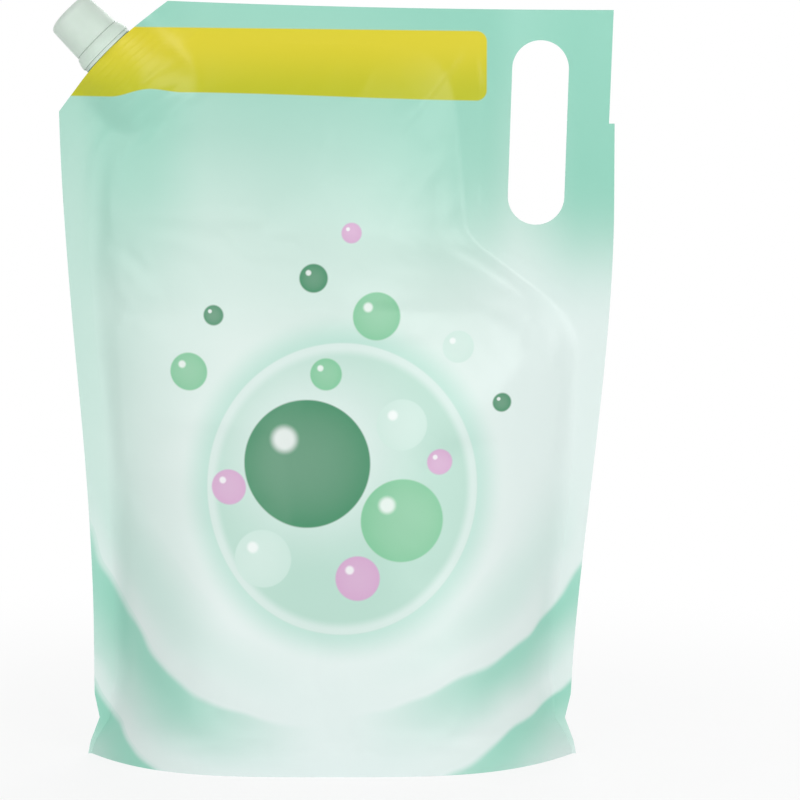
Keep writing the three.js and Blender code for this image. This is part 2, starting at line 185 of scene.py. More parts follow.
# small forms of the film, mm
relief = {
    "pucker": 0.55, "puckerReach": 16.0, "puckerRim": 3.5, "puckerLength": 15.0, "puckerSlant": 0.35,
    "puckerSeeds": (11, 23), "finer": 2.3, "finerShare": 0.5, "finerSeed": 5,
    "puckerFoot": (4, 22), "puckerTop": 6.0,
    "creases": (((44, 231), (18, 198), 0.8, 9.0, 0.5), ((46, 229), (48.5, 214), 1.0, 5.0, 0.35)),
    "creaseStart": (-0.05, 0.25), "creaseEnd": (0.55, 1.05),
    "sealWave": 0.9, "sealLengths": (34.0, 38.0), "sealSeeds": (3, 4), "sealFoot": (8, 40),
    "handleBend": 2.2, "handleFrom": 165.0, "handleReach": 42.0, "handleCurl": 1.6,
    "handleSway": 0.25, "swayLength": 24.0,
    "knots": 512, "firstKnot": 40,
}


def wander(v, length, seed):
    # smooth noise along one line
    count = relief["knots"]
    knots = np.random.default_rng(seed).uniform(-1, 1, count)
    at = v / length + relief["firstKnot"]
    low = np.floor(at).astype(int)
    return mixed(knots[low % count], knots[(low + 1) % count], smoothStep(at - low, 0, 1))


def creaseLine(x, z, start, end, width, reach):
    # a fold: one side stands proud along a line, fading at its ends and away from it
    (x0, z0), (x1, z1) = start, end
    length = math.hypot(x1 - x0, z1 - z0)
    ux, uz = (x1 - x0) / length, (z1 - z0) / length
    along = ((x - x0) * ux + (z - z0) * uz) / length
    side = (x - x0) * uz - (z - z0) * ux
    ends = smoothStep(along, *relief["creaseStart"]) * (1 - smoothStep(along, *relief["creaseEnd"]))
    return smoothStep(side, -width, width) * np.exp(-np.maximum(0, side) / reach) * ends


def filmRelief(x, z, face):
    # puckers beside the side welds, and the front's creases near the band
    out = np.zeros_like(x)
    for inset, seed in zip((x - pocketLeft(z), pocketRight(z) - x), relief["puckerSeeds"]):
        near = np.maximum(0, inset)
        reach = np.exp(-near / relief["puckerReach"]) * (1 - np.exp(-near / relief["puckerRim"]))
        slant = z + relief["puckerSlant"] * near
        wave = wander(slant, relief["puckerLength"], seed + face)
        finer = wander(slant, relief["puckerLength"] / relief["finer"], seed + face + relief["finerSeed"])
        out += relief["pucker"] * (wave + relief["finerShare"] * finer) * reach
    if face == 0:
        for start, end, width, reach, height in relief["creases"]:
            out += height * creaseLine(x, z, start, end, width, reach)
    sealed = bag["top"] - bag["topSeal"]
    fade = smoothStep(z, *relief["puckerFoot"]) * (1 - smoothStep(z, sealed - relief["puckerTop"], sealed))
    return out * fade


def filmBend(x, z):
    # how the welded edges and the handle lie out of the flat
    insets = (pocketLeft(z) - x, x - pocketRight(z))
    wave = np.zeros_like(x)
    for inset, length, seed in zip(insets, relief["sealLengths"], relief["sealSeeds"]):
        wave += np.clip(inset / bag["sideSeal"], 0, 1) * wander(z, length, seed)
    wave *= relief["sealWave"] * smoothStep(z, *relief["sealFoot"])
    curl = np.clip((x - handleEdge) / relief["handleReach"], 0, 1) ** relief["handleCurl"]
    sway = relief["handleSway"] * np.sin(x / relief["swayLength"])
    return wave + relief["handleBend"] * smoothStep(z, relief["handleFrom"], bag["top"]) * (curl - sway)


def filmGrid(rows, columns):
    low = np.linspace(0, bag["waist"], bag["footRows"], endpoint=False)
    heights = np.concatenate([low, np.linspace(bag["waist"], bag["top"], rows - bag["footRows"])])
    left, right = pocketLeft(heights), pocketRight(heights)
    spans = ((leftEdge(heights), left), (left, right), (right, rightEdge(heights)))
    parts = [mixed(a[:, None], b[:, None], np.arange(n)[None] / n) for (a, b), n in zip(spans, columns)]
    x = np.concatenate([*parts, rightEdge(heights)[:, None]], axis=1)
    z = heights[:, None] / bag["top"] * topEdge(x)
    return x, z


def gridHeights(x, z):
    # a grid's row heights, as they were before the top edge bowed them
    return z[:, 0] / topEdge(x[:, 0]) * bag["top"]


def columnPlaces(columns):
    # where each column lies across weld, pocket and weld
    spans = [k + np.arange(n) / n for k, n in enumerate(columns)]
    return np.concatenate([*spans, [float(len(columns))]])


def gridQuads(index):
    corners = index[:-1, :-1], index[:-1, 1:], index[1:, 1:], index[1:, :-1]
    return np.stack(corners, -1).reshape(-1, 4)


def newObject(name, points, faces):
    mesh = bpy.data.meshes.new(name)
    mesh.from_pydata(points, [], faces)
    mesh.update()
    made = bpy.data.objects.new(name, mesh)
    scene.collection.objects.link(made)
    return made


# the filled films, run as cloth under pressure on a coarse copy
swell = {
    "rows": 74, "columns": (2, 52, 3), "frames": 22, "quality": 5, "damping": 4.0,
    "slack": 0.016, "pressure": 3.0, "bending": 0.35, "tension": 60.0, "mass": 0.02,
    "heldDepth": 0.7, "heldFoot": 7.0,  # what counts as welded, mm
    "smoothing": 81, "most": 2.2, "share": 0.4, "room": 5.0,
}


def smoothed(values, times):
    # averages over neighbours, edges held
    out = values.copy()
    for _ in range(times):
        padded = np.pad(out, 1, mode="edge")
        out = (padded[:-2, 1:-1] + padded[2:, 1:-1] + padded[1:-1, :-2] + padded[1:-1, 2:]) / 4
    return out


def cubic(values, at):
    # smooth sampling of rows at places between them
    low = np.clip(np.floor(at).astype(int), 0, len(values) - 2)
    t = (at - low)[:, None]
    a, b, c, d = (values[np.clip(low + k, 0, len(values) - 1)] for k in (-1, 0, 1, 2))
    return b + 0.5 * t * (c - a + t * (2 * a - 5 * b + 4 * c - d + t * (3 * (b - c) + d - a)))


def clothRun(sheets, quads, welded):
    # both films under pressure, held at their welds: how far each point moves
    faces = quads.tolist() + (quads[:, ::-1] + welded.size).tolist()
    cloth = newObject("film_run", sheets.reshape(-1, 3).tolist(), faces)
    pins = cloth.vertex_groups.new(name="welds")
    held = np.flatnonzero(np.concatenate([welded.ravel(), welded.ravel()]))
    pins.add(held.tolist(), 1.0, "REPLACE")
    run = cloth.modifiers.new("run", "CLOTH")
    settings = {
        "quality": swell["quality"], "mass": swell["mass"], "air_damping": swell["damping"],
        "tension_stiffness": swell["tension"], "compression_stiffness": swell["tension"],
        "shear_stiffness": swell["tension"], "bending_stiffness": swell["bending"],
        "shrink_min": -swell["slack"], "vertex_group_mass": "welds",
        "use_pressure": True, "uniform_pressure_force": swell["pressure"],
    }
    for name, value in settings.items():
        setattr(run.settings, name, value)
    run.settings.effector_weights.gravity = 0.0
    run.collision_settings.use_collision = False
    for step in range(1, swell["frames"] + 1):
        scene.frame_set(step)
    after = cloth.evaluated_get(bpy.context.evaluated_depsgraph_get()).data
    moved = np.empty(len(after.vertices) * 3)
    after.vertices.foreach_get("co", moved)
    scene.frame_set(1)
    bpy.data.objects.remove(cloth)
    return moved.reshape(sheets.shape) - sheets


def filmPuckers(heights, places):
    # the wrinkles that the run leaves on each film, at the fine grid's rows and columns
    x, z = filmGrid(swell["rows"], swell["columns"])
    rows, cols = x.shape
    depth = halfDepth(x, z)
    sheets = np.stack([np.stack([x, -depth, z], -1), np.stack([x, depth, z], -1)]) * mm
    welded = (depth < bag["film"] / 2 + swell["heldDepth"]) | (z < swell["heldFoot"])
    welded[0] = welded[-1] = True
    moved = clothRun(sheets, gridQuads(np.arange(rows * cols).reshape(rows, cols)), welded)
    rowAt = np.interp(heights, gridHeights(x, z), np.arange(rows))
    columnAt = np.interp(places, columnPlaces(swell["columns"]), np.arange(cols))
    out = []
    for face, side in ((0, -1), (1, 1)):
        swollen = moved[face, :, :, 1] * side / mm
        wrinkle = swollen - smoothed(swollen, swell["smoothing"])
        wrinkle = swell["most"] * np.tanh(wrinkle / swell["most"]) * swell["share"]
        wrinkle[welded] = 0
        out.append(cubic(cubic(wrinkle, rowAt).T, columnAt).T)
        print("film run, face", face, "wrinkles to", round(float(np.abs(wrinkle).max()), 2), "mm")
    return out


def floorProfile(half):
    # rim, groove and the flat middle, from the front edge to the centre
    share = min(1, half / (2 * bag["skirt"] + bag["groove"]))
    through = np.arange(bag["floorSteps"] + 1) / bag["floorSteps"]
    inset = bag["skirt"] + bag["groove"] * through
    return half - inset * share, bag["grooveLift"] * share * np.sin(through * math.pi) ** 2


def addFoldedFloor(points, faces, x, depth, front, back):
    # the folded floor, column by column, with a plain ear at each side
    columns = [[front[0], back[0]]]
    for j in range(1, len(x) - 1):
        y, lift = floorProfile(float(depth[j]))
        start = len(points)
        points += [(x[j], -a, b) for a, b in zip(y, lift)]
        points += [(x[j], a, b) for a, b in zip(y[::-1], lift[::-1])]
        columns.append([front[j], *range(start, len(points)), back[j]])
    columns.append([front[-1], back[-1]])
    for here, after in zip(columns[1:-2], columns[2:-1]):
        faces += [(here[k], here[k + 1], after[k + 1], after[k]) for k in range(len(here) - 1)]
    for ear, column, flip in ((columns[0], columns[1], 1), (columns[-1], columns[-2], -1)):
        faces.append([*ear, *column[::-1]][::flip])


def bagObject():
    x, z = filmGrid(bag["rows"], bag["columns"])
    depth, bend = halfDepth(x, z), filmBend(x, z)
    puckers = [0, 0]
    puckers = filmPuckers(gridHeights(x, z), columnPlaces(bag["columns"]))
    room = smoothStep(depth, bag["film"] / 2, swell["room"])  # no wrinkle where the films meet
    points = []
    for face, side in ((0, -1), (1, 1)):
        away = np.maximum(bag["film"] / 2, depth + filmRelief(x, z, face) + puckers[face] * room)
        points += list(np.stack([x, bend + side * away, z], -1).reshape(-1, 3))
    front = np.arange(x.size).reshape(x.shape)
    back = front + x.size
    blocks = [
        gridQuads(front),
        np.roll(gridQuads(back)[:, ::-1], 1, axis=1),
        np.stack([front[:-1, 0], front[1:, 0], back[1:, 0], back[:-1, 0]], -1),
        np.stack([front[:-1, -1], back[:-1, -1], back[1:, -1], front[1:, -1]], -1),
        np.stack([front[-1, :-1], front[-1, 1:], back[-1, 1:], back[-1, :-1]], -1),
    ]
    faces = [face for block in blocks for face in block.tolist()]
    backFrom, edgeFrom, floorFrom = len(blocks[0]), 2 * len(blocks[0]), len(faces)
    addFoldedFloor(points, faces, x[0], depth[0], front[0].tolist(), back[0].tolist())
    made = newObject("film_bag", [[float(c) * mm for c in p] for p in points], faces)
    return made, (backFrom, edgeFrom, floorFrom)


def prism(bm, outline, low, high, place):
    # a closed prism on a plan outline, carried into the frame
    bottom = [bm.verts.new(place @ Vector((a, b, low))) for a, b in outline]
    top = [bm.verts.new(place @ Vector((a, b, high))) for a, b in outline]
    bm.faces.new(bottom[::-1])
    bm.faces.new(top)
    for i in range(len(outline)):
        j = (i + 1) % len(outline)
        bm.faces.new((bottom[i], bottom[j], top[j], top[i]))


def arc(centre, radius, start, end, count):
    angles = np.linspace(start, end, count)
    return [(centre[0] + radius * math.cos(a), centre[1] + radius * math.sin(a)) for a in angles]


def lensOutline(margin):
    half, bulge = corner["boatLength"] / 2 + margin, corner["boatDepth"] / 2 + margin
    radius = arcRadius(half, bulge)
    sweep = math.asin(half / radius)
    count = corner["boatSteps"]
    upper = arc((0, bulge - radius), radius, math.pi / 2 - sweep, math.pi / 2 + sweep, count)
    lower = arc((0, radius - bulge), radius, 1.5 * math.pi - sweep, 1.5 * math.pi + sweep, count)
    return upper[:-1] + lower[:-1]


# plan (x, z) with depth along -Y, and the spout's own frame
frontView = Matrix(((mm, 0, 0, 0), (0, 0, -mm, 0), (0, mm, 0, 0), (0, 0, 0, 1)))
spoutFrame = Matrix((
    (alongCut[0], 0, outward[0], spoutFoot[0]), (0, 1, 0, 0),
    (alongCut[1], 0, outward[1], spoutFoot[1]), (0, 0, 0, 1)))
spoutFrame = Matrix.Scale(mm, 4) @ spoutFrame


def meshObject(name, bm, finish):
    mesh = bpy.data.meshes.new(name)
    bm.to_mesh(mesh)
    bm.free()
    mesh.materials.append(finish)
    made = bpy.data.objects.new(name, mesh)
    scene.collection.objects.link(made)
    return made


def outlineCutter(finish):
    # finger slot, spout corner and the nick at the handle's edge
    bm = bmesh.new()
    deep = bag["bellyDepth"]
    lean = -slot["lean"]
    stadium = arc(slotTop, slotRadius, lean, math.pi + lean, slot["steps"])
    stadium += arc(slotLow, slotRadius, math.pi + lean, 2 * math.pi + lean, slot["steps"])
    prism(bm, stadium, -deep, deep, frontView)
    halfCut = corner["cut"] * halfRoot
    bowRadius = arcRadius(halfCut, corner["bow"])
    reach = halfCut + corner["cut"]
    sweep = math.asin(reach / bowRadius)
    middle = 0.75 * math.pi  # the angle of the outward direction
    bow = arc(spoutFoot - bowRadius * outward, bowRadius, middle - sweep, middle + sweep, corner["bowSteps"])
    far = [spoutFoot + s * reach * alongCut + 2 * corner["cut"] * outward for s in (-1, 1)]
    prism(bm, bow + [tuple(p) for p in far], -deep, deep, frontView)
    above = bag["top"] + bag["topRise"] + bag["topSeal"]
    outside = bag["rightTop"] + bag["sideSeal"]
    sliver = [(bag["rightTop"] - bag["nick"], bag["nickHeight"]), (outside, bag["nickHeight"]),
              (outside, above), (bag["rightTop"], above)]
    prism(bm, sliver, -deep, deep, frontView)
    bmesh.ops.recalc_face_normals(bm, faces=bm.faces)
    return meshObject("cutter", bm, finish)


def sleeveCutter(finish):
    # room between the films for the spout's foot
    bm = bmesh.new()
    foot = -corner["boatSink"] - corner["boatHeight"] - corner["gap"]
    prism(bm, lensOutline(corner["gap"]), foot, corner["mouth"], spoutFrame)
    bmesh.ops.recalc_face_normals(bm, faces=bm.faces)
    return meshObject("cutter", bm, finish)


def cutFrom(piece, cutter):
    cut = piece.modifiers.new("cut", "BOOLEAN")
    cut.operation = "DIFFERENCE"
    cut.solver = "MANIFOLD"
    cut.object = cutter
    shape = bpy.data.meshes.new_from_object(piece.evaluated_get(bpy.context.evaluated_depsgraph_get()))
    piece.modifiers.clear()
    piece.data = shape
    bpy.data.objects.remove(cutter)


def softShade(piece, angle):
    piece.data.shade_smooth()
    piece.data.set_sharp_from_angle(angle=math.radians(angle))


def filmPiece():
    made, (backFrom, edgeFrom, floorFrom) = bagObject()
    cutEdge = filmEdge()
    for finish in (printedFront(), printedBack(), cutEdge):
        made.data.materials.append(finish)
    # front, back, cut edge, and the floor printed as the back
    for start, index in ((backFrom, 1), (edgeFrom, 2), (floorFrom, 1)):
        for face in made.data.polygons[start:]:
            face.material_index = index
    cutFrom(made, outlineCutter(cutEdge))
    cutFrom(made, sleeveCutter(cutEdge))
    softShade(made, bag["sharp"])
    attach(made, "pack")
    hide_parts("pouch")
    print("film bag:", len(made.data.polygons), "faces")


# how the turned pieces are made
closure = {"segments": 96, "sharp": 38.0, "steps": 4, "merge": 0.0001}


def softened(profile, rounding, steps=closure["steps"]):
    # corners of a profile of (radius, height) points become short curves
    out = []
    for i, soft in enumerate(rounding):
        here = Vector(profile[i])
        before = Vector(profile[i - 1]) - here
        after = Vector(profile[(i + 1) % len(profile)]) - here
        if not soft:
            out.append(here)
            continue
        a = here + before.normalized() * min(soft, before.length / 2)
        b = here + after.normalized() * min(soft, after.length / 2)
        for k in range(steps + 1):
            t = k / steps
            out.append(a * (1 - t) ** 2 + here * 2 * t * (1 - t) + b * t ** 2)
    return out


def turned(bm, profile, closed=True):
    # a profile turned about the spout's axis
    line = [bm.verts.new((p[0], 0, p[1])) for p in profile]
    pairs = list(zip(line, line[1:]))
    if closed:
        pairs.append((line[-1], line[0]))
    edges = [bm.edges.new(pair) for pair in pairs]
    bmesh.ops.spin(bm, geom=line + edges, axis=(0, 0, 1), cent=(0, 0, 0), steps=closure["segments"],
                   angle=2 * math.pi, use_duplicate=False)
    bmesh.ops.remove_doubles(bm, verts=bm.verts, dist=closure["merge"])
    bmesh.ops.recalc_face_normals(bm, faces=bm.faces)


def closurePiece(name, bm, finish, body, node):
    bmesh.ops.transform(bm, matrix=spoutFrame, verts=bm.verts)
    made = meshObject(name, bm, finish)
    softShade(made, closure["sharp"])
    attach(made, body)
    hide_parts(node)
    print(name + ":", len(made.data.polygons), "faces")


# heights run along the spout, from the crest of the cut
spout = {
    "bore": 4.8, "root": 5.8, "neck": 6.2, "neckTop": 15.6,
    "flange": (9.4, 0.06, 1.2), "bead": (6.9, 3.4, 1.0),
    "rounding": (0, 0, 0, 0.25, 0.12, 0.3, 0.1, 0.2, 0.2, 0.2, 0.6, 0.5),
}
thread = {
    "lead": 3.0, "turns": 1.8, "foot": 6.6, "height": 0.75, "half": 0.75,
    "crest": (0.35, 0.3), "sink": 0.1, "runOut": 9, "end": 0.05,
}


def addThread(bm):
    steps = int(thread["turns"] * closure["segments"])
    root, half = spout["neck"] - thread["sink"], thread["half"]
    below, above = thread["crest"]
    previous = None
    for i in range(steps + 1):
        t = i / steps
        angle = t * thread["turns"] * 2 * math.pi
        height = thread["foot"] + t * thread["turns"] * thread["lead"]
        taper = min(1, thread["end"] + min(t, 1 - t) * thread["runOut"])
        crest = root + (thread["sink"] + thread["height"]) * taper
        section = [(root, -half), (crest, -half * below), (crest, half * above), (root, half)]
        here = [bm.verts.new((r * math.cos(angle), r * math.sin(angle), height + h)) for r, h in section]
        if previous:
            for k in range(4):
                bm.faces.new((here[k], here[(k + 1) % 4], previous[(k + 1) % 4], previous[k]))
        else:
            bm.faces.new(here)
        previous = here
    bm.faces.new(previous[::-1])


def spoutPiece(finish):
    bore, root, neck, neckTop = (spout[name] for name in ("bore", "root", "neck", "neckTop"))
    flange, flangeLow, flangeTop = spout["flange"]
    bead, beadLow, beadWidth = spout["bead"]
    foot = -corner["boatSink"] - corner["boatHeight"]
    profile = [
        (bore, foot), (root, foot), (root, flangeLow), (flange, flangeLow), (flange, flangeTop),
        (neck, flangeTop), (neck, beadLow), (bead, beadLow + beadWidth / 4), (bead, beadLow + beadWidth / 2),
        (neck, beadLow + beadWidth), (neck, neckTop), (bore, neckTop),
    ]
    bm = bmesh.new()
    turned(bm, softened(profile, spout["rounding"]))
    addThread(bm)
    prism(bm, lensOutline(0), foot, -corner["boatSink"], Matrix.Identity(4))
    closurePiece("pouring_spout", bm, finish, "pack", "spout")


# the band flares to the flange, and a collar fills the groove under the cap
ring = {
    "radius": 9.7, "low": 1.24, "flare": 2.54, "top": 5.0, "topRadius": 8.75, "collar": (8.42, 5.24),
    "bore": 7.2, "lipBore": 6.5, "lipTop": 3.1, "steps": 6,
    "rounding": (0.2, 0.15, 1.2, 0.35, 0.05, 0.05, 0.1, 0.1, 0.2),
    "bridges": 8, "bridge": (0.9, 0.6, 0.24), "bridgeTurn": 0.37, "bridgeSink": 0.05, "bridgeInset": 0.02,
}


def ringPiece(finish):
    low, top = ring["low"], ring["top"]
    collar, collarTop = ring["collar"]
    profile = [
        (ring["lipBore"], low), (ring["radius"], low), (ring["radius"], ring["flare"]),
        (ring["topRadius"], top), (collar, top), (collar, collarTop), (ring["bore"], collarTop),
        (ring["bore"], ring["lipTop"]), (ring["lipBore"], ring["lipTop"]),
    ]
    bm = bmesh.new()
    turned(bm, softened(profile, ring["rounding"], ring["steps"]))
    wide, deep, high = ring["bridge"]
    middle = (cap["base"] - deep / 2 - ring["bridgeInset"], 0, top - ring["bridgeSink"] + high / 2)
    size = Matrix.Diagonal((deep, wide, high + 2 * ring["bridgeSink"], 1))
    for i in range(ring["bridges"]):
        turn = Matrix.Rotation(2 * math.pi * (i + ring["bridgeTurn"]) / ring["bridges"], 4, "Z")
        bmesh.ops.create_cube(bm, matrix=turn @ Matrix.Translation(middle) @ size)
    closurePiece("tamper_band", bm, finish, "pack", "tamper_ring")


cap = {
    "base": 8.5, "tip": 8.0, "low": 5.3, "top": 18.6, "bore": 7.3, "roof": 17.0,
    "crown": 2.2, "crownSteps": 22, "crownBend": 0.5, "rounding": (0, 0.5, 0.15, 0.3), "gateEdge": 1.9,
    # the moulding mark on the crown: radius, drop, rounding
    "gate": ((1.6, 0, 0), (1.35, 0.18, 0.1), (0.55, 0.18, 0.1), (0.4, 0.02, 0.06), (0, 0.02, 0)),
}


def capPiece(finish):
    low, top, roof, bore, high = (cap[name] for name in ("low", "top", "roof", "bore", "crown"))
    skirt = [(0, roof), (bore, roof), (bore, low), (cap["base"], low)]
    angles = np.linspace(0, math.pi / 2, cap["crownSteps"])[:-1]
    crown = [(cap["tip"] * math.cos(a) ** cap["crownBend"], top - high + high * math.sin(a)) for a in angles]
    crown = [p for p in crown if p[0] > cap["gateEdge"]]
    gate = [(radius, top - drop) for radius, drop, soft in cap["gate"]]
    rounding = [*cap["rounding"], *[0] * len(crown), *[soft for radius, drop, soft in cap["gate"]]]
    bm = bmesh.new()
    turned(bm, softened(skirt + crown + gate, rounding), closed=False)
    closurePiece("turning_cap", bm, finish, "cap", "screw_cap")


liner = {"radius": 7.0, "low": 15.9, "top": 16.7, "rounding": (0, 0.15, 0.15, 0)}


def linerPiece(finish):
    radius, low, top = liner["radius"], liner["low"], liner["top"]
    profile = [(0, low), (radius, low), (radius, top), (0, top)]
    bm = bmesh.new()
    turned(bm, softened(profile, liner["rounding"]), closed=False)
    closurePiece("sealing_disc", bm, finish, "liner", "cap_liner")


def operation(kind, swapped=False):
    # an operator of Wire, which adds a Math node
    def apply(self, other=0.0):
        first, second = (other, self) if swapped else (self, other)
        return self.add("Math", {"operation": kind}, {0: first, 1: second})
    return apply


class Wire:
    # wraps a socket, so that sums written on values add their Math nodes
    def __init__(self, socket):
        self.socket = socket

    @staticmethod
    def node(tree, kind, settings=None, inputs=None, out=0):
        made = tree.nodes.new("ShaderNode" + kind)
        for name, value in (settings or {}).items():
            if name == "stops":
                stops = made.color_ramp.elements
                while len(stops) < len(value):
                    stops.new(1.0)
                for stop, (place, colour) in zip(stops, value):
                    stop.position = place
                    stop.color = colour
            else:
                setattr(made, name, value)
        setSockets(tree, made, inputs or {})
        return Wire(made.outputs[out])

    def add(self, kind, settings=None, inputs=None, out=0):
        return Wire.node(self.socket.id_data, kind, settings, inputs, out)

    __add__ = operation("ADD")
    __radd__ = operation("ADD", True)
    __sub__ = operation("SUBTRACT")
    __rsub__ = operation("SUBTRACT", True)
    __mul__ = operation("MULTIPLY")
    __rmul__ = operation("MULTIPLY", True)
    __truediv__ = operation("DIVIDE")
    __rtruediv__ = operation("DIVIDE", True)
    __pow__ = operation("POWER")
    __rpow__ = operation("POWER", True)
    __abs__ = operation("ABSOLUTE")
    most = operation("MAXIMUM")
    root = operation("SQRT")
    sine = operation("SINE")
    fraction = operation("FRACT")

    def __neg__(self):
        return self * -1.0

    def rise(self, low, high):
        # 0 below low, 1 above high, smooth between
        return self.add("MapRange", {"interpolation_type": "SMOOTHSTEP"},
                        {"Value": self, "From Min": low, "From Max": high})

    def hump(self, low, full, fade, high):
        # rises from low to full and falls from fade to high
        return self.rise(low, full) * (1 - self.rise(fade, high))


def setSockets(tree, node, values):
    for name, value in values.items():
        if isinstance(value, Wire):
            tree.links.new(value.socket, node.inputs[name])
        else:
            node.inputs[name].default_value = value


def ink(r, g, b):
    # a colour as seen on screen, 0 to 255
    shares = [c / 255 for c in (r, g, b)]
    return (*[s / 12.92 if s <= 0.04045 else ((s + 0.055) / 1.055) ** 2.4 for s in shares], 1.0)


def over(under, colour, mask):
    # lays a colour over another where the mask is 1
    return mask.add("Mix", {"data_type": "RGBA", "blend_type": "MIX"}, {0: mask, 6: under, 7: colour}, 2)


def newFinish(name):
    made = bpy.data.materials.new(name)
    made.use_nodes = True
    tree = made.node_tree
    return made, tree, tree.nodes["Principled BSDF"], Wire.node(tree, "TexCoord", out="Object")


def axes(place):
    # x, y, z of a point, in mm
    parts = place.add("SeparateXYZ", None, {0: place}).socket.node.outputs
    return [Wire(part) / mm for part in parts]


def noise(place, scale, detail=2.0):
    return place.add("TexNoise", None, {"Vector": place, "Scale": scale, "Detail": detail})


def disc(x, z, place, radius=1.0, squash=1.0):
    # distance from a place, in radii
    up = z - place[1]
    if squash != 1.0:
        up = up * squash
    return ((x - place[0]) ** 2.0 + up ** 2.0).root() / radius


def rectangle(x, z, box, rounding, blur=0.25):
    # 1 inside a box with round corners
    left, right, low, high = box
    dx = (abs(x - (left + right) / 2) - ((right - left) / 2 - rounding)).most(0.0)
    dz = (abs(z - (low + high) / 2) - ((high - low) / 2 - rounding)).most(0.0)
    return 1 - ((dx ** 2.0 + dz ** 2.0).root() - rounding).rise(-blur, blur)


# the film's ground: colours by height, then print tints and painted shade laid over them, mm on the front
ground = {
    "heights": (
        (0, (230, 242, 240)), (40, (231, 243, 240)), (95, (232, 244, 240)), (135, (222, 238, 232)),
        (170, (204, 230, 220)), (200, (176, 219, 204)), (228, (157, 214, 195)), (245, (152, 214, 194))),
    "tilt": 0.13, "sway": 10.0, "swayScale": 22.0,
    "edge": {"ink": (166, 216, 199), "across": (30.0, 92.0), "sway": 14.0, "share": 0.5},
    "clear": {"ink": (226, 239, 236), "across": (24.0, 74.0), "sway": 20.0,
              "up": (150.0, 186.0), "share": 0.85},
    "handleShade": {"ink": (138, 206, 184), "across": (58.0, 80.0), "sway": 8.0,
             "up": (138.0, 194.0), "share": 0.9},
    "shade": {"right": (0.0, 44.0, 48.0, 60.0), "left": (38.0, 60.0, 72.0, 84.0),
              "up": (147.0, 201.0), "share": 0.5},
}
# folds of mint and white in the lower corners
folds = {
    "centre": (4.0, 108.0), "squash": 0.9, "step": 23.0, "sway": 16.0, "shift": 8.0,
    "wave": (0.031, 0.7, 5.0), "away": (66.0, 96.0), "up": (52.0, 104.0), "across": (2.0, 60.0),
    "mint": {"ink": (146, 213, 191), "span": (0.0, 0.09, 0.1, 0.9), "share": 0.9},
    "white": {"ink": (228, 240, 237), "span": (0.66, 0.96, 0.97, 1.0), "share": 0.85},
}


def layFolds(colour, x, z, sway):
    often, start, height = folds["wave"]
    wave = (x * often + start).sine() * height
    away = disc(x, z, folds["centre"], 1.0, folds["squash"]) + sway * folds["sway"] + wave + folds["shift"]
    fold = (away / folds["step"]).fraction()
    lower = away.rise(*folds["away"]) * (1 - z.rise(*folds["up"])) * abs(x).rise(*folds["across"])
    for tone in (folds["mint"], folds["white"]):
        colour = over(colour, ink(*tone["ink"]), fold.hump(*tone["span"]) * lower * tone["share"])
    return colour


def printedGround(x, z, place):
    sway = noise(place, ground["swayScale"]) - 0.5
    top = ground["heights"][-1][0]
    stops = [(height / top, ink(*tone)) for height, tone in ground["heights"]]
    colour = z.add("ValToRGB", {"stops": stops}, {0: (z + x * ground["tilt"] + sway * ground["sway"]) / top})
    edge, clear, handleShade, shade = (ground[name] for name in ("edge", "clear", "handleShade", "shade"))
    mask = (sway * edge["sway"] - x).rise(*edge["across"])
    colour = over(colour, ink(*edge["ink"]), mask * edge["share"])
    mask = (x + sway * clear["sway"]).rise(*clear["across"]) * (1 - z.rise(*clear["up"]))
    colour = over(colour, ink(*clear["ink"]), mask * clear["share"])
    # painted shade: darker mint over the handle and the right edge below it, where the handle bends away
    mask = (x + sway * handleShade["sway"]).rise(*handleShade["across"]) * z.rise(*handleShade["up"])
    colour = over(colour, ink(*handleShade["ink"]), mask * handleShade["share"])
    # painted shade: darker mint in two patches on the upper front, right of the middle and near the left edge
    mask = (x.hump(*shade["right"]) + (-x).hump(*shade["left"])) * shade["share"]
    colour = over(colour, ink(*handleShade["ink"]), mask * (z + sway * ground["sway"]).rise(*shade["up"]))
    return layFolds(colour, x, z, sway)


# the front's design: soap bubbles on a round pale field, mm
medal = {
    "centre": (3.0, 92.0), "radius": 43.0, "squash": 0.94, "ink": (186, 221, 207), "pale": (226, 240, 236),
    "glow": (146, 213, 191), "glowSpan": (0.98, 1.22), "glowShare": 0.5, "edge": (0.992, 1.008),
    "lightShift": (-8.0, 12.0), "lightSpan": (0.1, 0.95), "rim": (0.9, 0.97), "rimShare": 0.75,
}
bubble = {
    "deep": (16, 128, 80), "fresh": (122, 196, 150), "blush": (214, 164, 205), "pale": (206, 232, 222),
    "blur": 0.35, "cover": 0.94, "lighten": 0.08, "shineInk": (250, 253, 252), "shinePlace": (-0.36, 0.38),
    "shineRadius": 0.24, "shineSpan": (0.5, 1.1), "shineShare": 0.8,
}
bubbles = (  # x, z, radius, colour
    (-8, 100, 20.0, "deep"), (22, 82, 13.0, "fresh"), (-22, 70, 9.0, "pale"), (8, 64, 7.0, "blush"),
    (22, 112, 8.0, "pale"), (-2, 128, 5.0, "fresh"), (-33, 92, 5.5, "blush"), (34, 100, 4.0, "blush"),
    (14, 146, 7.5, "fresh"), (-6, 158, 4.5, "deep"), (6, 172, 3.2, "blush"), (40, 136, 5.0, "pale"),
    (-46, 128, 6.0, "fresh"), (-38, 146, 3.2, "deep"), (54, 118, 3.0, "deep"),
)


def printedBubble(colour, x, z, place, radius, tone):
    away = disc(x, z, place, radius)
    blur = bubble["blur"] / radius
    inside = 1 - away.rise(1 - blur, 1 + blur)
    body = over(ink(*bubble[tone]), ink(255, 255, 255), bubble["lighten"] - away ** 2.0 * bubble["lighten"])
    shine = [centre + radius * shift for centre, shift in zip(place, bubble["shinePlace"])]
    mask = 1 - disc(x, z, shine, bubble["shineRadius"] * radius).rise(*bubble["shineSpan"])
    body = over(body, ink(*bubble["shineInk"]), mask * bubble["shineShare"])
    return over(colour, body, inside * bubble["cover"])


